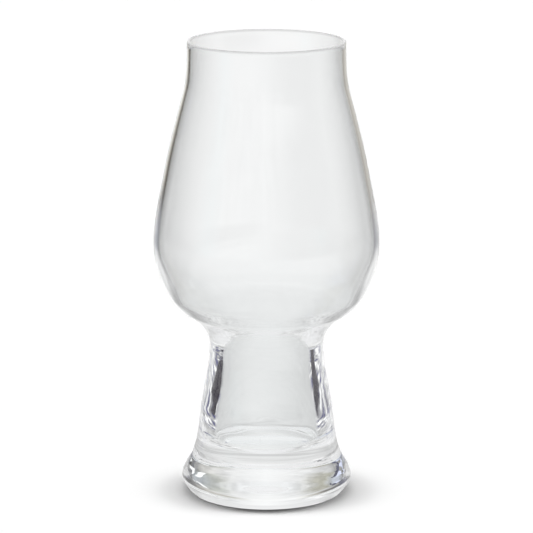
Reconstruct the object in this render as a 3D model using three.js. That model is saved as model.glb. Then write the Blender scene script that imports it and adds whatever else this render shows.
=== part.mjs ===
// A waisted beer glass: a thin bowl over a thick hollow stem, on a solid flared foot.
// Millimetres, +Z up. The origin is the middle of the base, on the surface the glass stands on.
// The three sections are turned about +Z and meet on two flat seams, where the glass is fused.

import * as THREE from 'three';

const glassHeight = 180; // from the table to the top of the lip; the long taper takes up the rest

// Foot
const standingRadius = 30; // outer edge of the ring that touches the table
const standingWidth = 4; // flat width of that ring
const standingLean = 1; // how steeply the edge rolls up from the ring, sideways per height
const puntDepth = 2.5; // how far the underside is hollowed at its middle
const footRadius = 33.6; // widest part of the foot
const footEdgeHeight = 6; // from the table to the widest part
const footFlareHeight = 9; // from the widest part up to the seam with the stem

// Stem
const ankleRadius = 29.45; // seam of foot and stem
const ankleLean = -0.375; // slope of the outside at that seam
const stemLowerHeight = 21; // from the ankle to the middle of the stem
const stemMiddleRadius = 25.7;
const stemMiddleLean = -0.148;
const stemMiddleWall = 6.5;
const stemUpperHeight = 22.5; // from the middle of the stem to the waist
const floorThickness = 4; // glass between the seam of the foot and the inside floor
const floorRadius = 20.6; // inside of the stem just above the floor's rounded edge
const floorFillet = 4.5; // radius of that rounded edge

// Waist, where the bowl is fused to the stem
const waistRadius = 22.6;
const waistWall = 5.4;

// Bowl: outside radius, wall and slope where the curve changes. The flare, hip and belly are
// counted up from the waist, and the neck down from the lip.
const flareHeight = 13.5; // from the waist to the steepest part of the flare
const flareRadius = 30.9;
const flareLean = 1.58;
const flareWall = 4.2;
const hipHeight = 8; // from the flare to the hip, where the flare turns up
const hipRadius = 38.6;
const hipLean = 0.57;
const hipWall = 3;
const bellyHeight = 20; // from the hip to the widest part
const bellyRadius = 44.25;
const bellyWall = 1.9;
const sideShare = 7 / 15; // how far up the long taper its middle station lies
const sideRadius = 40.05;
const sideLean = -0.18;
const sideWall = 1.65;
const taperRadius = 32.4; // top of the taper, where the neck begins
const taperLean = -0.26;
const taperWall = 1.5;
const neckHeight = 8; // from the taper to where the neck is upright
const neckRadius = 31.15;
const neckLean = -0.06;
const neckWall = 1.4;
const lipHeight = 12; // from there to the top of the lip
const lipRadius = 30.84;
const lipWall = 1.35;

// Glass, palest where it is thin
const bowlColour = 0xedf2f2;
const stemColour = 0xe3eaea;
const footColour = 0xe6ecec;
const polishedRoughness = 0.03;
const glassOpacity = 0.35;

// Facets: around the axis, and along each kind of stretch
const facetsAround = 48;
const stretchFacets = 5;
const filletFacets = 5;
const lipFacets = 4;
const puntFacets = 5;

// Heights of the stations
const footEdgeZ = footEdgeHeight;
const ankleZ = footEdgeZ + footFlareHeight;
const floorZ = ankleZ + floorThickness;
const stemMiddleZ = ankleZ + stemLowerHeight;
const waistZ = stemMiddleZ + stemUpperHeight;
const flareZ = waistZ + flareHeight;
const hipZ = flareZ + hipHeight;
const bellyZ = hipZ + bellyHeight;
const neckZ = glassHeight - lipHeight;
const taperZ = neckZ - neckHeight;
const sideZ = bellyZ + sideShare * (taperZ - bellyZ);
const lipRound = lipWall / 2; // the lip is rounded over its whole wall

// A station of an outline: height, radius, and slope there as sideways distance per height.
function station(z, radius, lean) {
  return { z, radius, lean };
}

// The same station on the inside of a wall.
function inside(outer, wall) {
  return station(outer.z, outer.radius - wall, outer.lean);
}

// Points of an outline from its lowest station to its highest. Each stretch is a cubic in
// height that meets both of its stations at their radius and slope.
function outline(stations) {
  const points = [new THREE.Vector2(stations[0].radius, stations[0].z)];
  for (let i = 1; i < stations.length; i += 1) {
    const low = stations[i - 1];
    const high = stations[i];
    const rise = high.z - low.z;
    for (let step = 1; step <= stretchFacets; step += 1) {
      const t = step / stretchFacets;
      const highShare = t * t * (3 - 2 * t);
      const bulge = t * (1 - t) * ((1 - t) * low.lean - t * high.lean) * rise;
      const radius = low.radius + highShare * (high.radius - low.radius) + bulge;
      points.push(new THREE.Vector2(radius, low.z + t * rise));
    }
  }
  return points;
}

// Points on a round stretch that starts straight outwards from its centre, without its first
// point. The turn is in degrees, upwards.
function arc(centreRadius, centreZ, radius, turn, facets) {
  const points = [];
  for (let step = 1; step <= facets; step += 1) {
    const angle = THREE.MathUtils.degToRad((turn * step) / facets);
    const x = centreRadius + radius * Math.cos(angle);
    points.push(new THREE.Vector2(x, centreZ + radius * Math.sin(angle)));
  }
  return points;
}

// Turns an outline about the upright axis.
function turned(name, points, material) {
  const geometry = new THREE.LatheGeometry(points, facetsAround);
  geometry.rotateX(Math.PI / 2);
  const mesh = new THREE.Mesh(geometry, material);
  mesh.name = name;
  return mesh;
}

function clearGlass(colour) {
  return new THREE.MeshStandardMaterial({
    color: colour,
    roughness: polishedRoughness,
    metalness: 0,
    transparent: true,
    opacity: glassOpacity,
  });
}

// The solid foot: hollowed a little underneath, so that it stands on a ring.
function makeFoot() {
  const puntRadius = standingRadius - standingWidth;
  const points = [];
  for (let step = 0; step <= puntFacets; step += 1) {
    const out = step / puntFacets;
    points.push(new THREE.Vector2(puntRadius * out, puntDepth * (1 - out * out)));
  }
  points.push(
    ...outline([
      station(0, standingRadius, standingLean),
      station(footEdgeZ, footRadius, 0),
      station(ankleZ, ankleRadius, ankleLean),
    ]),
  );
  points.push(new THREE.Vector2(0, ankleZ));
  return turned('foot', points, clearGlass(footColour));
}

// The thick stem: a deep cup with a rounded floor, closed below.
function makeStem() {
  const middle = station(stemMiddleZ, stemMiddleRadius, stemMiddleLean);
  const waist = station(waistZ, waistRadius, 0);
  const fillet = Math.min(floorFillet, floorRadius);
  const points = [new THREE.Vector2(0, ankleZ)];
  points.push(...outline([station(ankleZ, ankleRadius, ankleLean), middle, waist]));
  const bore = outline([
    station(floorZ + fillet, floorRadius, 0),
    inside(middle, stemMiddleWall),
    inside(waist, waistWall),
  ]);
  points.push(...bore.reverse());
  points.push(...arc(floorRadius - fillet, floorZ + fillet, fillet, -90, filletFacets));
  points.push(new THREE.Vector2(0, floorZ));
  return turned('stem', points, clearGlass(stemColour));
}

// The thin bowl, open at the lip and at the waist.
function makeBowl() {
  const lip = station(glassHeight - lipRound, lipRadius, 0);
  const sections = [
    [station(waistZ, waistRadius, 0), waistWall],
    [station(flareZ, flareRadius, flareLean), flareWall],
    [station(hipZ, hipRadius, hipLean), hipWall],
    [station(bellyZ, bellyRadius, 0), bellyWall],
    [station(sideZ, sideRadius, sideLean), sideWall],
    [station(taperZ, taperRadius, taperLean), taperWall],
    [station(neckZ, neckRadius, neckLean), neckWall],
    [lip, lipWall],
  ];
  const points = outline(sections.map(([outer]) => outer));
  points.push(...arc(lipRadius - lipRound, lip.z, lipRound, 180, lipFacets));
  const inner = outline(sections.map(([outer, wall]) => inside(outer, wall)));
  points.push(...inner.reverse().slice(1));
  points.push(points[0].clone());
  return turned('bowl', points, clearGlass(bowlColour));
}

const beerGlass = new THREE.Group();
beerGlass.add(makeFoot(), makeStem(), makeBowl());

export default beerGlass;
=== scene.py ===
import bisect
import math

import bmesh
import bpy
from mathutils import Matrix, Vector, noise


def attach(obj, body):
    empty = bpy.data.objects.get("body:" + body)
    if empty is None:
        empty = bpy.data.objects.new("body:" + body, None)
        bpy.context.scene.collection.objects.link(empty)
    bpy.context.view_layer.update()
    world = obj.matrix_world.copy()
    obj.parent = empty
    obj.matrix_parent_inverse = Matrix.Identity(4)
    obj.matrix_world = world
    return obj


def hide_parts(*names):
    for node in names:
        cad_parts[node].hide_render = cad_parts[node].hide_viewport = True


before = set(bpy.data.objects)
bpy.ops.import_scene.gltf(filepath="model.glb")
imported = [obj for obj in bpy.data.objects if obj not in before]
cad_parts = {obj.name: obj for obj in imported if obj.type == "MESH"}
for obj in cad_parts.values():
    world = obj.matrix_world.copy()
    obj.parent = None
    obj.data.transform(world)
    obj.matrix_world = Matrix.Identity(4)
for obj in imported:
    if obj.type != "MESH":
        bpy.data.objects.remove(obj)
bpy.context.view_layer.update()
print("frame loaded:", ", ".join(sorted(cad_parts)))

mm = 0.001
fullTurn = 2 * math.pi

camera = {
    "place": (0.0, -1.150, 0.351),
    "pitch": 77.23,  # degrees from straight down
    "lens": 202.7,  # millimetres, and the next too
    "sensor": 36,
    "nearest": 0.01,  # metres from the camera, closer than which nothing is drawn
}


def makeCamera():
    data = bpy.data.cameras.new("photoCamera")
    data.lens = camera["lens"]
    data.sensor_width = camera["sensor"]
    data.clip_start = camera["nearest"]
    ob = bpy.data.objects.new("photoCamera", data)
    ob.location = camera["place"]
    ob.rotation_euler = (math.radians(camera["pitch"]), 0, 0)
    bpy.context.collection.objects.link(ob)
    bpy.context.scene.camera = ob


makeCamera()
print("camera made")

# The glass in millimetres. A station is a height, the outside radius there and its slope,
# sideways per height; the solid model has the same stations.
glass = {
    "outside": {
        "ring": (0, 30, 1),
        "footEdge": (6, 33.6, 0),
        "ankle": (15, 29.45, -0.375),
        "stemMiddle": (36, 25.7, -0.148),
        "waist": (58.5, 22.6, 0),
        "flare": (72, 30.9, 1.58),
        "hip": (80, 38.6, 0.57),
        "belly": (100, 44.25, 0),
        "side": (128, 40.05, -0.18),
        "taper": (160, 32.4, -0.26),
        "neck": (168, 31.15, -0.06),
        "lip": (179.325, 30.84, 0),
    },
    "walls": {
        "stemMiddle": 6.5,
        "waist": 5.4,
        "flare": 4.2,
        "hip": 3,
        "belly": 1.9,
        "side": 1.65,
        "taper": 1.5,
        "neck": 1.4,
        "lip": 1.35,
    },
    "standingWidth": 4,
    "puntDepth": 2.5,
    "floorZ": 19,
    "floorRadius": 20.6,
    "floorFillet": 4.5,
    "fineTop": 80,  # the mesh is finer below this height
    "outsideStep": 0.55,  # rise of one mesh face there, on the outside
    "insideStep": 0.9,
    "coarseStep": 2.2,  # and above it
    "leastSteps": 2,  # faces between two stations, at the least
    "puntSteps": 12,
    "roundSteps": 12,  # round the lip, and round the edge of the inside floor
    "flatSteps": 4,
    "sectors": 256,
    "sameVertex": 1e-6,  # metres; vertices closer than this become one
}


def curve(low, high, fineStep):
    # a cubic in height that meets both stations at their radius and slope
    rise = high[0] - low[0]
    meshStep = fineStep if high[0] <= glass["fineTop"] else glass["coarseStep"]
    steps = max(glass["leastSteps"], round(rise / meshStep))
    points = []
    for step in range(1, steps + 1):
        t = step / steps
        share = t * t * (3 - 2 * t)
        bulge = t * (1 - t) * ((1 - t) * low[2] - t * high[2]) * rise
        points.append((low[1] + share * (high[1] - low[1]) + bulge, low[0] + t * rise))
    return points


def outline(stations, fineStep):
    points = [(stations[0][1], stations[0][0])]
    for low, high in zip(stations, stations[1:]):
        points += curve(low, high, fineStep)
    return points


def arc(centre, radius, start, turn, steps):
    points = []
    for step in range(1, steps + 1):
        a = math.radians(start + turn * step / steps)
        points.append((centre[0] + radius * math.cos(a), centre[1] + radius * math.sin(a)))
    return points


def outsideOutline():
    return outline(list(glass["outside"].values()), glass["outsideStep"])


def glassOutline():
    # from the middle of the underside, up the outside, over the lip and down to the inside floor
    outside, walls = glass["outside"], glass["walls"]
    puntRadius = outside["ring"][1] - glass["standingWidth"]
    points = []
    for step in range(glass["puntSteps"] + 1):
        out = step / glass["puntSteps"]
        points.append((puntRadius * out, glass["puntDepth"] * (1 - out * out)))
    points += outsideOutline()
    lip = outside["lip"]
    lipRound = walls["lip"] / 2
    points += arc((lip[1] - lipRound, lip[0]), lipRound, 0, 180, glass["roundSteps"])
    inner = [(z, r - walls[n], lean) for n, (z, r, lean) in outside.items() if n in walls]
    fillet = glass["floorFillet"]
    flat = glass["floorRadius"] - fillet
    inner.insert(0, (glass["floorZ"] + fillet, glass["floorRadius"], 0))
    points += outline(inner, glass["insideStep"])[::-1][1:]
    points += arc((flat, glass["floorZ"] + fillet), fillet, 0, -90, glass["roundSteps"])
    for step in range(1, glass["flatSteps"] + 1):
        points.append((flat * (1 - step / glass["flatSteps"]), glass["floorZ"]))
    return points


# Faint rings and waves that forming leaves on the outside of the waist, stem and foot, in
# millimetres. Each strength is a share of the rise, by height.
ripples = {
    "top": 78,
    "skin": 0.5,  # how deep below the outside a vertex still belongs to it
    "waveSize": (11, 2.3),  # across and up
    "waveRise": 0.022,
    "waveStrength": {1: 0, 5: 0.4, 14: 0.7, 20: 0.1, 52: 0.1, 58: 0.5, 66: 0.8, 73: 1.3, 78: 0},
    "rings": (
        {"pitch": 5.6, "rise": 0.03, "phase": 0.4,
         "strength": {1: 0, 5: 0.5, 14: 0.9, 20: 0.85, 39: 0.7, 44: 0.25, 53: 0.2, 58: 0.7, 68: 0.8,
                      78: 0}},
        {"pitch": 2.1, "rise": 0.012, "phase": 2.1,
         "strength": {8: 0, 12: 1.3, 20: 1.3, 26: 0, 53: 0, 57: 1, 66: 1.2, 72: 1.7, 78: 0}},
    ),
    # how the rings wander round the glass, in radians of their phase: once and twice in a turn
    "once": (1.1, 0.7),  # how far, and where it starts
    "twice": (0.5, 0.11),  # how far, and how it moves on with each millimetre up
}


def between(stops, value):
    places = sorted(stops)
    if value <= places[0]:
        return stops[places[0]]
    if value >= places[-1]:
        return stops[places[-1]]
    i = bisect.bisect(places, value)
    low, high = places[i - 1], places[i]
    return stops[low] + (stops[high] - stops[low]) * (value - low) / (high - low)


def rippleAt(x, y, z):
    turn = math.atan2(y, x)
    far, start = ripples["once"]
    wander = far * math.sin(turn + start)
    far, moved = ripples["twice"]
    wander += far * math.sin(2 * turn + z * moved)
    across, up = ripples["waveSize"]
    height = ripples["waveRise"] * noise.noise((x / across, y / across, z / up))
    height *= between(ripples["waveStrength"], z)
    for ring in ripples["rings"]:
        wave = ring["rise"] * math.sin(fullTurn * z / ring["pitch"] + ring["phase"] + wander)
        height += wave * between(ring["strength"], z)
    return height


def spun(places, turn, steps):
    # a line of places, turned about the upright axis; a full turn closes on itself
    bm = bmesh.new()
    verts = [bm.verts.new(place) for place in places]
    for a, b in zip(verts, verts[1:]):
        bm.edges.new((a, b))
    bmesh.ops.spin(bm, geom=list(bm.verts) + list(bm.edges), cent=(0, 0, 0), axis=(0, 0, 1),
                   angle=turn, steps=steps, use_merge=turn == fullTurn, use_duplicate=False)
    return bm


def meshObject(name, bm):
    mesh = bpy.data.meshes.new(name)
    bm.to_mesh(mesh)
    bm.free()
    ob = bpy.data.objects.new(name, mesh)
    bpy.context.collection.objects.link(ob)
    return ob


def makeGlass():
    bm = spun([(r * mm, 0, z * mm) for r, z in glassOutline()], fullTurn, glass["sectors"])
    bmesh.ops.remove_doubles(bm, verts=bm.verts, dist=glass["sameVertex"])
    bmesh.ops.recalc_face_normals(bm, faces=bm.faces)
    side = {z: r for r, z in outsideOutline()}
    for vert in bm.verts:
        x, y, z = (v / mm for v in vert.co)
        radius = math.hypot(x, y)
        if 0 < z < ripples["top"] and radius > between(side, z) - ripples["skin"]:
            ripple = rippleAt(x, y, z) * mm / radius
            vert.co.x += ripple * x
            vert.co.y += ripple * y
    ob = meshObject("glass", bm)
    ob.data.shade_smooth()
    return ob


def nodesOf(block):
    block.use_nodes = True
    block.node_tree.nodes.clear()
    return block.node_tree.nodes, block.node_tree.links


def calculate(nodes, links, operation, first, second=None):
    node = nodes.new("ShaderNodeMath")
    node.operation = operation
    for socket, value in zip(node.inputs, (first, second)):
        if isinstance(value, (int, float)):
            socket.default_value = value
        elif value is not None:
            links.new(value, socket)
    return node.outputs[0]


def stretch(nodes, links, value, low, high, smooth=False):
    # 0 at low and below, 1 at high and above
    node = nodes.new("ShaderNodeMapRange")
    node.interpolation_type = "SMOOTHSTEP" if smooth else "LINEAR"
    node.inputs["From Min"].default_value = low
    node.inputs["From Max"].default_value = high
    links.new(value, node.inputs["Value"])
    return node.outputs["Result"]


def vectorMath(nodes, links, operation, first, second=None):
    node = nodes.new("ShaderNodeVectorMath")
    node.operation = operation
    for socket, value in zip(node.inputs, (first, second)):
        if isinstance(value, tuple):
            socket.default_value = value
        elif value is not None:
            links.new(value, socket)
    return node.outputs["Value" if operation in ("LENGTH", "DOT_PRODUCT") else "Vector"]


def joined(nodes, links, *values):
    # a vector of two or three values
    node = nodes.new("ShaderNodeCombineXYZ")
    for value, socket in zip(values, node.inputs):
        links.new(value, socket)
    return node.outputs[0]


def ownPlace(nodes, links):
    # x, y and z in the object's own frame, and the three as one
    place = nodes.new("ShaderNodeTexCoord").outputs["Object"]
    split = nodes.new("ShaderNodeSeparateXYZ")
    links.new(place, split.inputs[0])
    return (*split.outputs, place)


def blend(nodes, links, mask, first, second):
    node = nodes.new("ShaderNodeMix")
    node.data_type = "RGBA"
    links.new(mask, node.inputs["Factor"])
    for socket, value in ((node.inputs[6], first), (node.inputs[7], second)):
        if isinstance(value, tuple):
            socket.default_value = (*value, 1)
        else:
            links.new(value, socket)
    return node.outputs[2]


def ramp(nodes, links, value, stops):
    # a colour for each place of value, straight between the stops
    low, high = min(stops), max(stops)
    node = nodes.new("ShaderNodeValToRGB")
    elements = node.color_ramp.elements
    while len(elements) < len(stops):
        elements.new(0.5)
    for element, (place, tone) in zip(elements, sorted(stops.items())):
        element.position = (place - low) / (high - low)
        colour = tone if isinstance(tone, tuple) else (tone, tone, tone)
        element.color = (*colour, 1)
    links.new(stretch(nodes, links, value, low, high), node.inputs[0])
    return node.outputs[0]


def anyOf(nodes, links, kinds):
    path = nodes.new("ShaderNodeLightPath")
    last = path.outputs[kinds[0]]
    for kind in kinds[1:]:
        last = calculate(nodes, links, "MAXIMUM", last, path.outputs[kind])
    return last


def mixShaders(nodes, links, mask, first, second):
    node = nodes.new("ShaderNodeMixShader")
    links.new(mask, node.inputs[0])
    links.new(first.outputs[0], node.inputs[1])
    links.new(second.outputs[0], node.inputs[2])
    return node


clearGlass = {
    "thin": (0.99, 0.995, 0.995),
    "thick": (0.965, 0.975, 0.975),
    "thickTop": 0.075,  # metres up, where the wall starts to thin
    "thinStart": 0.1,
    # painted shade: a grey that darkens the glass's colour at the rounded lip
    "lip": (0.74, 0.74, 0.74),
    "lipShadeStart": 0.1789,  # metres up, where this painted shade comes in and is full
    "lipShadeFull": 0.1795,
    "ior": 1.5,
    "waveScale": 60,
    "waveDetail": 1,
    "waveDepth": 0.00004,  # metres
    "waveStrength": 0.25,
    "shadowFoot": 0.007,  # below this the glass shades the floor, above the next it doesn't
    "shadowTop": 0.011,
}


def makeClearGlass():
    material = bpy.data.materials.new("clearGlass")
    nodes, links = nodesOf(material)
    out = nodes.new("ShaderNodeOutputMaterial")
    bsdf = nodes.new("ShaderNodeBsdfPrincipled")
    bsdf.inputs["Roughness"].default_value = 0.0
    bsdf.inputs["IOR"].default_value = clearGlass["ior"]
    bsdf.inputs["Transmission Weight"].default_value = 1.0
    height, place = ownPlace(nodes, links)[2:]
    thin = stretch(nodes, links, height, clearGlass["thickTop"], clearGlass["thinStart"], smooth=True)
    tint = blend(nodes, links, thin, clearGlass["thick"], clearGlass["thin"])
    # painted shade: the rounded lip gathers light from down inside the wall and looks darker, so its
    # colour is darkened there
    paintedLipShade = stretch(nodes, links, height, clearGlass["lipShadeStart"], clearGlass["lipShadeFull"])
    links.new(blend(nodes, links, paintedLipShade, tint, clearGlass["lip"]), bsdf.inputs["Base Color"])
    # soft waves left by forming
    waves = nodes.new("ShaderNodeTexNoise")
    waves.inputs["Scale"].default_value = clearGlass["waveScale"]
    waves.inputs["Detail"].default_value = clearGlass["waveDetail"]
    links.new(place, waves.inputs["Vector"])
    bump = nodes.new("ShaderNodeBump")
    bump.inputs["Strength"].default_value = clearGlass["waveStrength"]
    bump.inputs["Distance"].default_value = clearGlass["waveDepth"]
    links.new(waves.outputs["Fac"], bump.inputs["Height"])
    links.new(bump.outputs["Normal"], bsdf.inputs["Normal"])
    # lamps and bounced light pass the glass, except low in the foot, which shades the floor
    passing = nodes.new("ShaderNodeBsdfTransparent")
    lit = stretch(nodes, links, height, clearGlass["shadowFoot"], clearGlass["shadowTop"])
    links.new(lit, passing.inputs["Color"])
    lightRays = anyOf(nodes, links, ("Is Shadow Ray", "Is Diffuse Ray"))
    links.new(mixShaders(nodes, links, lightRays, bsdf, passing).outputs[0], out.inputs["Surface"])
    return material


piece = makeGlass()
piece.data.materials.append(makeClearGlass())
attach(piece, "root")
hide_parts("bowl", "stem", "foot")
print("glass made:", len(piece.data.polygons), "faces")

halfStep = 0.5  # between two whole numbers of reflections

# Streaks of light and dark, as noise that turns from dark to light between two of its values.
streaks = {
    "reach": (0.36, 0.64),
    "detail": 1,
}

# The studio. Soft lamps above and at both sides light the floor, with a weaker light all round.
# What the glass itself shows is given as tones: by the direction from straight behind the glass
# in degrees, right positive, and by distance in metres. Straight rays see the pale floor through
# the glass; bounced ones have been reflected in it. Streaks have a size, across in degrees and
# along in metres.
studio = {
    "allRound": 0.08,  # strength of the light that comes from everywhere
    # direction and strength of the lamps, the same on the left and on the right
    "lamps": (((0.17, 0.3, 0.94), 3.0), ((0.72, 0.26, 0.64), 4.1), ((0.91, 0, 0.42), 2.4)),
    "lampEdge": 0.93,  # cosines of the angles from a lamp's middle, where it starts and is full
    "lampFull": 0.99,
    "trapped": 8,  # from this many reflections on, light has come through the wall and is white
    "floorSize": 20,  # its radius
    "floorSides": 96,
    "floorColour": (0.97, 0.97, 0.97),
    "floorGlow": 0.03,
    # painted shadow and caustics: the floor as straight rays see it through the glass, darker in a ring
    # round the glass, with painted rings of light
    "straight": {0: 0.9, 0.012: 0.86, 0.033: 0.89, 0.041: 0.67, 0.05: 0.78, 0.06: 0.8, 0.075: 0.84,
                 0.11: 0.86, 0.16: 0.85, 0.23: 0.88, 0.34: 0.94, 3: 0.95},
    # painted light: the floor is brightest straight behind the glass, for straight rays
    "straightTurn": {-180: 0.97, -110: 0.97, -70: 0.78, -40: 0.81, -28: 0.84, -17: 0.91, -6: 1.0, 6: 1.0,
                     17: 0.91, 28: 0.84, 40: 0.81, 70: 0.78, 110: 0.97, 180: 0.97},
    "straightTurnFrom": (0.018, 0.03),  # distances between which this comes in
    "straightRings": {"size": (20, 0.0045), "dark": 0.8, "light": 1.12},
    "straightRingsIn": (0.038, 0.042),  # between which they come in, and then go out
    "straightRingsOut": (0.08, 0.06),
    # painted shadow and caustics: bounced rays see a floor darkened close beside the glass, with painted
    # rings of light
    "nearShade": {0: 0.88, 0.012: 0.78, 0.032: 0.74, 0.06: 0.7},
    "nearOpen": (0.89, 0.89, 0.9),  # in front of the glass and behind it
    "nearBeside": {0: 0, 35: 0, 52: 1, 128: 1, 145: 0, 180: 0},  # where this painted shade lies
    "nearCausticRings": {"size": (20, 0.0045), "dark": 0.62, "light": 1.4},
    "nearCausticRingsFrom": (0.022, 0.032),
    # and then four zones, each with its tones by direction, that blend into the next from its
    # end to the start of that; beyond the last is the room's lowest
    "nearEnd": 0.055,
    "middle": {-180: 0.85, -110: 0.7, -75: 0.55, -50: 0.55, -40: 0.48, -32: 0.5, -24: 0.85, 24: 0.85,
               32: 0.55, 40: 0.52, 50: 0.58, 75: 0.6, 110: 0.7, 180: 0.85},
    "middleStart": 0.09,
    "middleEnd": 0.16,
    "outer": {-180: 0.8, -110: 0.65, -75: 0.5, -60: 0.4, -45: 0.28, -38: 0.28, -32: 0.5, -27: 0.85,
              -22: 1.0, 22: 1.0, 27: 0.85, 32: 0.55, 38: 0.35, 45: 0.35, 60: 0.45, 75: 0.5,
              110: 0.65, 180: 0.8},
    "outerStart": 0.2,
    "outerEnd": 0.35,
    "back": {-180: 0.8, -110: 0.65, -75: 0.4, -60: 0.3, -45: 0.2, -38: 0.22, -33: (0.34, 0.35, 0.38),
             -28: (0.43, 0.44, 0.48), -15: 0.52, 0: 0.5, 15: 0.5, 28: (0.46, 0.47, 0.49),
             33: (0.4, 0.4, 0.42), 45: 0.25, 60: 0.3, 75: 0.4, 110: 0.65, 180: 0.8},
    "backStart": 0.42,
    "backEnd": 0.68,
    "farStart": 0.85,
    "middleStreaks": {"size": (9, 0.02), "dark": 0.8, "light": 1.1},
}

# A dome over all of it, with its tones for bounced rays by direction at four heights.
room = {
    "radius": 20,
    "rows": 32,
    "sectors": 96,
    "sameVertex": 1e-5,  # metres
    "low": {-180: 0.7, -160: 1.0, -135: 1.0, -118: (0.8, 0.95, 0.97), -100: 0.5, -80: 0.08, -42: 0.04,
            -30: (0.11, 0.1, 0.085), -27: (0.2, 0.18, 0.155), -23: (0.48, 0.46, 0.41),
            -18: (0.87, 0.86, 0.81), -12: 1.0, 6: 1.0, 14: (0.62, 0.61, 0.56),
            22: (0.54, 0.52, 0.48), 29: (0.52, 0.5, 0.46), 33: (0.38, 0.36, 0.33),
            38: (0.21, 0.2, 0.18), 45: 0.1, 60: 0.08, 80: 0.22, 100: 0.48, 118: 0.1, 145: 0.1,
            165: 0.35, 180: 0.7},
    "middle": {-180: 0.85, -135: 1.0, -118: (0.8, 0.95, 0.97), -100: 0.5, -80: 0.1, -50: 0.08,
               -44: 0.35, -38: 0.4, -30: 0.6, -15: 0.88, 0: 0.97, 15: 0.88, 30: (0.66, 0.65, 0.62),
               42: 0.3, 52: 0.1, 80: 0.22, 100: 0.48, 120: 0.15, 145: 0.15, 180: 0.85},
    "high": {-180: 1.0, -115: 0.95, -85: 0.7, -62: (0.45, 0.5, 0.62), -51: (0.62, 0.68, 0.8),
             -36: (0.45, 0.44, 0.37), -27: (0.5, 0.49, 0.43), -15: 0.85, 0: 0.97, 15: 0.85,
             27: (0.55, 0.56, 0.52), 38: (0.45, 0.47, 0.47), 50: (0.45, 0.49, 0.53), 62: 0.6, 85: 0.7,
             120: 0.9, 180: 1.0},
    "top": (0.89, 0.9, 0.91),
    # and its tones for straight rays, at any height
    "straight": {-180: 0.9, -60: 0.4, -42: 0.45, -34: 0.8, -29: 1.1, -24: 0.9, -17: 0.86, -6: 0.95,
                 0: 1.0, 6: 0.97, 12: 0.91, 21: 0.8, 31: 0.78, 42: 0.6, 60: 0.45, 180: 0.9},
    "middleRise": (4, 9),  # degrees up, between which low turns to middle
    "highRise": (16, 20),
    "topRise": (34, 46),
    "streaks": {"size": (7, 5), "dark": 0.85, "light": 1.1},  # the size in degrees across and up
    "streaksFrom": (7, 18),  # degrees from straight behind, between which they come in
}


def polar(nodes, links):
    # direction in degrees and distance about the glass, and height
    x, y, z = ownPlace(nodes, links)[:3]
    turn = calculate(nodes, links, "DEGREES", calculate(nodes, links, "ARCTAN2", x, y))
    return turn, vectorMath(nodes, links, "LENGTH", joined(nodes, links, x, y)), z


def streakNoise(nodes, links, across, along, sizes):
    # light that has passed a glass lies in streaks
    cloud = nodes.new("ShaderNodeTexNoise")
    cloud.inputs["Scale"].default_value = 1
    cloud.inputs["Detail"].default_value = streaks["detail"]
    links.new(joined(nodes, links, calculate(nodes, links, "DIVIDE", across, sizes[0]),
                     calculate(nodes, links, "DIVIDE", along, sizes[1])), cloud.inputs["Vector"])
    return cloud.outputs["Fac"]


def streaked(nodes, links, across, along, streak):
    # a factor that wavers between dark and light
    darkest, lightest = streaks["reach"]
    return ramp(nodes, links, streakNoise(nodes, links, across, along, streak["size"]),
                {darkest: streak["dark"], lightest: streak["light"]})


def where(nodes, links, mask, factor):
    # a factor that counts only where the mask is
    return blend(nodes, links, mask, (1, 1, 1), factor)


def inSteps(nodes, links, value, tone, following):
    # a tone that turns into each following one between two places of value
    for start, end, after in following:
        tone = blend(nodes, links, stretch(nodes, links, value, start, end), tone, after)
    return tone


def freeRays(nodes, links):
    # light that hasn't run down inside the wall of the glass
    reflections = nodes.new("ShaderNodeLightPath").outputs["Glossy Depth"]
    return calculate(nodes, links, "LESS_THAN", reflections, studio["trapped"] - halfStep)


def bouncedRays(nodes, links):
    # of those, light that has been reflected in the glass
    reflections = nodes.new("ShaderNodeLightPath").outputs["Glossy Depth"]
    once = calculate(nodes, links, "GREATER_THAN", reflections, halfStep)
    return calculate(nodes, links, "MULTIPLY", once, freeRays(nodes, links))


def emission(nodes, links, tone, strength=1.0):
    node = nodes.new("ShaderNodeEmission")
    node.inputs["Strength"].default_value = strength
    if isinstance(tone, tuple):
        node.inputs["Color"].default_value = (*tone, 1)
    else:
        links.new(tone, node.inputs["Color"])
    return node


def makeWorld():
    world = bpy.data.worlds.new("studioWorld")
    bpy.context.scene.world = world
    nodes, links = nodesOf(world)
    out = nodes.new("ShaderNodeOutputWorld")
    # the lamps stand on the right, and a place on the left counts as its mirror image
    x, y, z = ownPlace(nodes, links)[:3]
    mirrored = joined(nodes, links, calculate(nodes, links, "ABSOLUTE", x), y, z)
    level = studio["allRound"]
    for place, strength in studio["lamps"]:
        facing = vectorMath(nodes, links, "DOT_PRODUCT", mirrored, tuple(Vector(place).normalized()))
        lamp = stretch(nodes, links, facing, studio["lampEdge"], studio["lampFull"], smooth=True)
        lamp = calculate(nodes, links, "MULTIPLY", lamp, strength)
        level = calculate(nodes, links, "ADD", lamp, level)
    soft = nodes.new("ShaderNodeBackground")
    white = nodes.new("ShaderNodeBackground")
    for background in (soft, white):
        background.inputs["Color"].default_value = (1, 1, 1, 1)
    links.new(level, soft.inputs["Strength"])
    seen = anyOf(nodes, links, ("Is Camera Ray", "Is Glossy Ray", "Is Transmission Ray"))
    links.new(mixShaders(nodes, links, seen, soft, white).outputs[0], out.inputs["Surface"])


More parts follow.
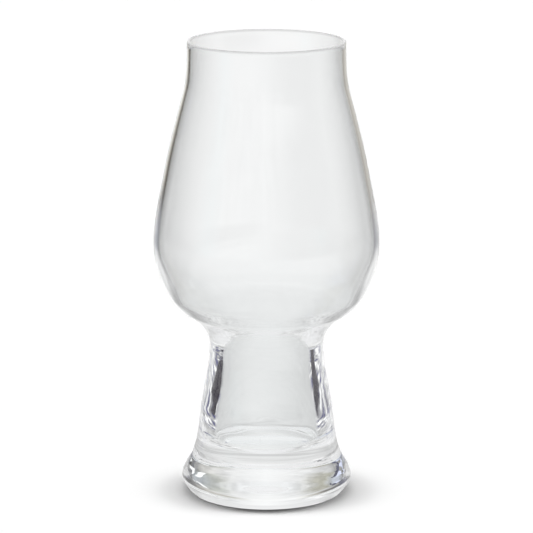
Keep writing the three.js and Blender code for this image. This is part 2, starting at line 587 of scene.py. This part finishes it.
# painted shadow and caustics on the floor, as straight rays see it
def straightFloor(nodes, links):
    turn, away = polar(nodes, links)[:2]
    tone = vectorMath(nodes, links, "MULTIPLY", ramp(nodes, links, away, studio["straight"]),
                      where(nodes, links, stretch(nodes, links, away, *studio["straightTurnFrom"]),
                            ramp(nodes, links, turn, studio["straightTurn"])))
    ringed = calculate(nodes, links, "MULTIPLY",
                       stretch(nodes, links, away, *studio["straightRingsIn"]),
                       stretch(nodes, links, away, *studio["straightRingsOut"]))
    rings = streaked(nodes, links, turn, away, studio["straightRings"])
    return vectorMath(nodes, links, "MULTIPLY", tone, where(nodes, links, ringed, rings))


# painted shadow and caustics beside the glass, as bounced rays see the floor
def bouncedFloor(nodes, links):
    turn, away = polar(nodes, links)[:2]
    rings = streaked(nodes, links, turn, away, studio["nearCausticRings"])
    nearShade = vectorMath(nodes, links, "MULTIPLY", ramp(nodes, links, away, studio["nearShade"]),
                      where(nodes, links, stretch(nodes, links, away, *studio["nearCausticRingsFrom"]), rings))
    beside = ramp(nodes, links, calculate(nodes, links, "ABSOLUTE", turn), studio["nearBeside"])
    middle = vectorMath(nodes, links, "MULTIPLY", ramp(nodes, links, turn, studio["middle"]),
                        streaked(nodes, links, turn, away, studio["middleStreaks"]))
    return inSteps(nodes, links, away, blend(nodes, links, beside, studio["nearOpen"], nearShade), (
        (studio["nearEnd"], studio["middleStart"], middle),
        (studio["middleEnd"], studio["outerStart"], ramp(nodes, links, turn, studio["outer"])),
        (studio["outerEnd"], studio["backStart"], ramp(nodes, links, turn, studio["back"])),
        (studio["backEnd"], studio["farStart"], ramp(nodes, links, turn, room["low"])),
    ))


def makeFloor():
    bm = bmesh.new()
    bmesh.ops.create_circle(bm, cap_ends=True, segments=studio["floorSides"],
                            radius=studio["floorSize"])
    ob = meshObject("studioFloor", bm)
    material = bpy.data.materials.new("whiteFloor")
    nodes, links = nodesOf(material)
    out = nodes.new("ShaderNodeOutputMaterial")
    paint = nodes.new("ShaderNodeBsdfDiffuse")
    paint.inputs["Color"].default_value = (*studio["floorColour"], 1)
    both = nodes.new("ShaderNodeAddShader")
    links.new(paint.outputs[0], both.inputs[0])
    links.new(emission(nodes, links, (1.0, 1.0, 1.0), studio["floorGlow"]).outputs[0], both.inputs[1])
    tone = blend(nodes, links, bouncedRays(nodes, links), straightFloor(nodes, links),
                 bouncedFloor(nodes, links))
    shown = anyOf(nodes, links, ("Is Glossy Ray", "Is Transmission Ray"))
    floor = mixShaders(nodes, links, shown, both, emission(nodes, links, tone))
    links.new(floor.outputs[0], out.inputs["Surface"])
    ob.data.materials.append(material)


def onlyThroughGlass(name, bm, toneOf, coverOf=None, seenBy=bouncedRays):
    # a stage piece that only light in the glass sees; coverOf gives how much of it is there
    material = bpy.data.materials.new(name)
    nodes, links = nodesOf(material)
    out = nodes.new("ShaderNodeOutputMaterial")
    clear = nodes.new("ShaderNodeBsdfTransparent")
    glow = emission(nodes, links, toneOf(nodes, links))
    cover = seenBy(nodes, links)
    if coverOf:
        cover = calculate(nodes, links, "MULTIPLY", cover, coverOf(nodes, links))
    shown = mixShaders(nodes, links, cover, clear, glow)
    links.new(shown.outputs[0], out.inputs["Surface"])
    ob = meshObject(name, bm)
    ob.data.materials.append(material)
    ob.visible_camera = False
    ob.visible_diffuse = False
    ob.visible_shadow = False


def roomTone(nodes, links):
    turn, away, z = polar(nodes, links)
    rise = calculate(nodes, links, "DEGREES", calculate(nodes, links, "ARCTAN2", z, away))
    tone = inSteps(nodes, links, rise, ramp(nodes, links, turn, room["low"]), (
        (*room["middleRise"], ramp(nodes, links, turn, room["middle"])),
        (*room["highRise"], ramp(nodes, links, turn, room["high"])),
        (*room["topRise"], room["top"]),
    ))
    tone = blend(nodes, links, bouncedRays(nodes, links), ramp(nodes, links, turn, room["straight"]),
                 tone)
    aside = stretch(nodes, links, calculate(nodes, links, "ABSOLUTE", turn), *room["streaksFrom"])
    shade = where(nodes, links, aside, streaked(nodes, links, turn, rise, room["streaks"]))
    return vectorMath(nodes, links, "MULTIPLY", tone, shade)


def makeRoom():
    profile = [(room["radius"], 0)] + arc((0, 0), room["radius"], 0, 90, room["rows"])
    bm = spun([(x, 0, z) for x, z in profile], fullTurn, room["sectors"])
    bmesh.ops.remove_doubles(bm, verts=bm.verts, dist=room["sameVertex"])
    onlyThroughGlass("room", bm, roomTone, seenBy=freeRays)


# Panels that stand behind the glass. Each has its tone, and its corners by direction and degrees
# up. They give the dark and blue patch on the right of the foot and the bright ones on its left.
panels = {
    "distance": 5,
    "tones": {"dark": (0.06, 0.06, 0.11), "blue": (0.8, 0.85, 1.08), "white": (1.25, 1.25, 1.25)},
    "shapes": {
        "darkPanel": ("dark", ((-40, 14.5), (-42, 14.8), (-42.3, 17), (-43.3, 19.5), (-44.3, 22),
                               (-43, 25.8), (-44.5, 27.2), (-41, 27.5), (-40.8, 24), (-39.5, 20),
                               (-36.5, 18), (-38.5, 16))),
        "lowDarkPanel": ("dark", ((-43, 5), (-42, 13.3), (-46, 13.2), (-52, 11), (-57, 8.5),
                                  (-57, 4), (-49, 4))),
        "bluePanel": ("blue", ((-42.6, 17), (-47, 16.5), (-57, 13), (-55, 11.5), (-51, 15.5),
                               (-48.5, 18.5), (-46, 23), (-43.4, 25.6), (-44.6, 22), (-43.6, 19.5))),
        "upperShard": ("white", ((53.5, 16.6), (51.5, 17.7), (48.5, 18.4), (45, 18.3), (41.5, 17.5),
                                 (42, 16.9), (48, 16.7))),
        "lowerShard": ("white", ((35, 18.7), (31, 19.6), (31, 22), (35.5, 24.7), (43, 26.4),
                                 (46.5, 24), (48, 20.8), (46, 20.2), (42.5, 21.4), (38.5, 20))),
    },
}


def towards(turn, rise, distance):
    # the place at a distance from the middle of the base, in a direction and degrees up
    a, up = math.radians(turn), math.radians(rise)
    reach = distance * math.cos(up)
    return reach * math.sin(a), reach * math.cos(a), distance * math.sin(up)


def makePanels():
    for name, (kind, places) in panels["shapes"].items():
        bm = bmesh.new()
        bm.faces.new([bm.verts.new(towards(*place, panels["distance"])) for place in places])
        onlyThroughGlass(name, bm, lambda nodes, links: panels["tones"][kind])


# Dark flags that stand just outside the glass and give the two stripes inside the stem. Each is a
# curved card. The stripe on it lies between a lower and an upper line, in metres up by direction.
flags = {
    "radius": 0.06,
    "reach": (16, 84),  # degrees from straight behind
    "rise": (0.012, 0.05),
    "columns": 48,
    "softUnder": 0.0012,  # how far the stripe's two edges fade
    "softOver": 0.003,
    # Light from the stem meets a flag after a short way, and light from the bowl after a longer
    # one. A flag is gone at the first of two distances from the glass, and whole at the second.
    "stripeWay": (0.0485, 0.0475),
    "streakWay": (0.056, 0.051),
    "streakSize": (20, 0.003),  # light and dark streaks beside the stripe: degrees and metres up
    "streakTone": {0.4: (0.1, 0.1, 0.24), 0.5: (0.55, 0.55, 0.6), 0.6: (1.3, 1.3, 1.3)},
    "streakCover": {0.38: 0.95, 0.47: 0.25, 0.53: 0.25, 0.62: 0.95},
    "streakFrom": (20, 38),  # degrees between which they come in
    "streakRiseIn": (0.012, 0.018),  # metres up, between which they come in, and then go out
    "streakRiseOut": (0.05, 0.042),
    "left": {
        "tone": (0.055, 0.05, 0.06),
        "under": {-84: 0.034, -80: 0.032, -76: 0.0293, -73: 0.0272, -67: 0.0273, -60: 0.0268,
                  -48: 0.0259, -45: 0.027, -42: 0.025, -38: 0.0176, -31: 0.0168, -24: 0.0165,
                  -18: 0.018},
        "over": {-84: 0.041, -80: 0.0435, -76: 0.046, -72: 0.0455, -67: 0.044, -62: 0.042,
                 -59: 0.0402, -56: 0.0375, -53: 0.0345, -48: 0.03, -45: 0.0275, -42: 0.024,
                 -38: 0.0222, -31: 0.0212, -24: 0.0192, -18: 0.017},
    },
    "right": {
        "tone": (0.09, 0.085, 0.095),
        "under": {18: 0.0195, 25: 0.02, 30: 0.0213, 35: 0.0222, 40: 0.022, 45: 0.0262,
                  50: 0.0282, 60: 0.0284, 65: 0.0281, 77: 0.0281, 80: 0.0287, 84: 0.031},
        "over": {18: 0.0185, 25: 0.0225, 30: 0.0242, 35: 0.0255, 40: 0.025, 45: 0.0258,
                 50: 0.0295, 54: 0.032, 58: 0.0365, 62: 0.045, 66: 0.05, 72.5: 0.0495,
                 75: 0.036, 78: 0.0345, 84: 0.032},
    },
}


def fading(nodes, links, cover, *limits):
    # a cover times how far each value has come from the first of its limits to the second
    for value, (start, full) in limits:
        cover = calculate(nodes, links, "MULTIPLY", cover, stretch(nodes, links, value, start, full))
    return cover


def wayFromGlass(nodes, links):
    return nodes.new("ShaderNodeLightPath").outputs["Ray Length"]


def stripeCover(nodes, links, side):
    turn, away, z = polar(nodes, links)
    overUnder = calculate(nodes, links, "SUBTRACT", z, ramp(nodes, links, turn, flags[side]["under"]))
    belowOver = calculate(nodes, links, "SUBTRACT", ramp(nodes, links, turn, flags[side]["over"]), z)
    return fading(nodes, links, stretch(nodes, links, overUnder, 0, flags["softUnder"]),
                  (belowOver, (0, flags["softOver"])),
                  (wayFromGlass(nodes, links), flags["stripeWay"]))


def flagTone(nodes, links, side):
    turn, away, z = polar(nodes, links)
    streak = streakNoise(nodes, links, turn, z, flags["streakSize"])
    return blend(nodes, links, stripeCover(nodes, links, side),
                 ramp(nodes, links, streak, flags["streakTone"]), flags[side]["tone"])


def flagCover(nodes, links, side):
    turn, away, z = polar(nodes, links)
    streak = streakNoise(nodes, links, turn, z, flags["streakSize"])
    cover = fading(nodes, links, ramp(nodes, links, streak, flags["streakCover"]),
                   (calculate(nodes, links, "ABSOLUTE", turn), flags["streakFrom"]),
                   (z, flags["streakRiseIn"]), (z, flags["streakRiseOut"]),
                   (wayFromGlass(nodes, links), flags["streakWay"]))
    return calculate(nodes, links, "MAXIMUM", cover, stripeCover(nodes, links, side))


def makeFlags():
    for side, sign in (("left", -1), ("right", 1)):
        start, end = (math.radians(turn * sign) for turn in flags["reach"])
        x, y = flags["radius"] * math.sin(start), flags["radius"] * math.cos(start)
        bm = spun([(x, y, z) for z in flags["rise"]], start - end, flags["columns"])
        onlyThroughGlass(side + "Flag", bm, lambda nodes, links: flagTone(nodes, links, side),
                         lambda nodes, links: flagCover(nodes, links, side))


makeWorld()
makeFloor()
makeRoom()
makePanels()
makeFlags()
print("studio made")

scene = bpy.context.scene
scene.view_settings.view_transform = "Standard"
bounces = 128  # light that runs down inside the wall comes out lower, in place of a dark edge
scene.cycles.max_bounces = bounces
scene.cycles.glossy_bounces = bounces
scene.cycles.transmission_bounces = bounces
clearBounces = 32  # how many stage pieces a ray may pass that it doesn't see
scene.cycles.transparent_max_bounces = clearBounces
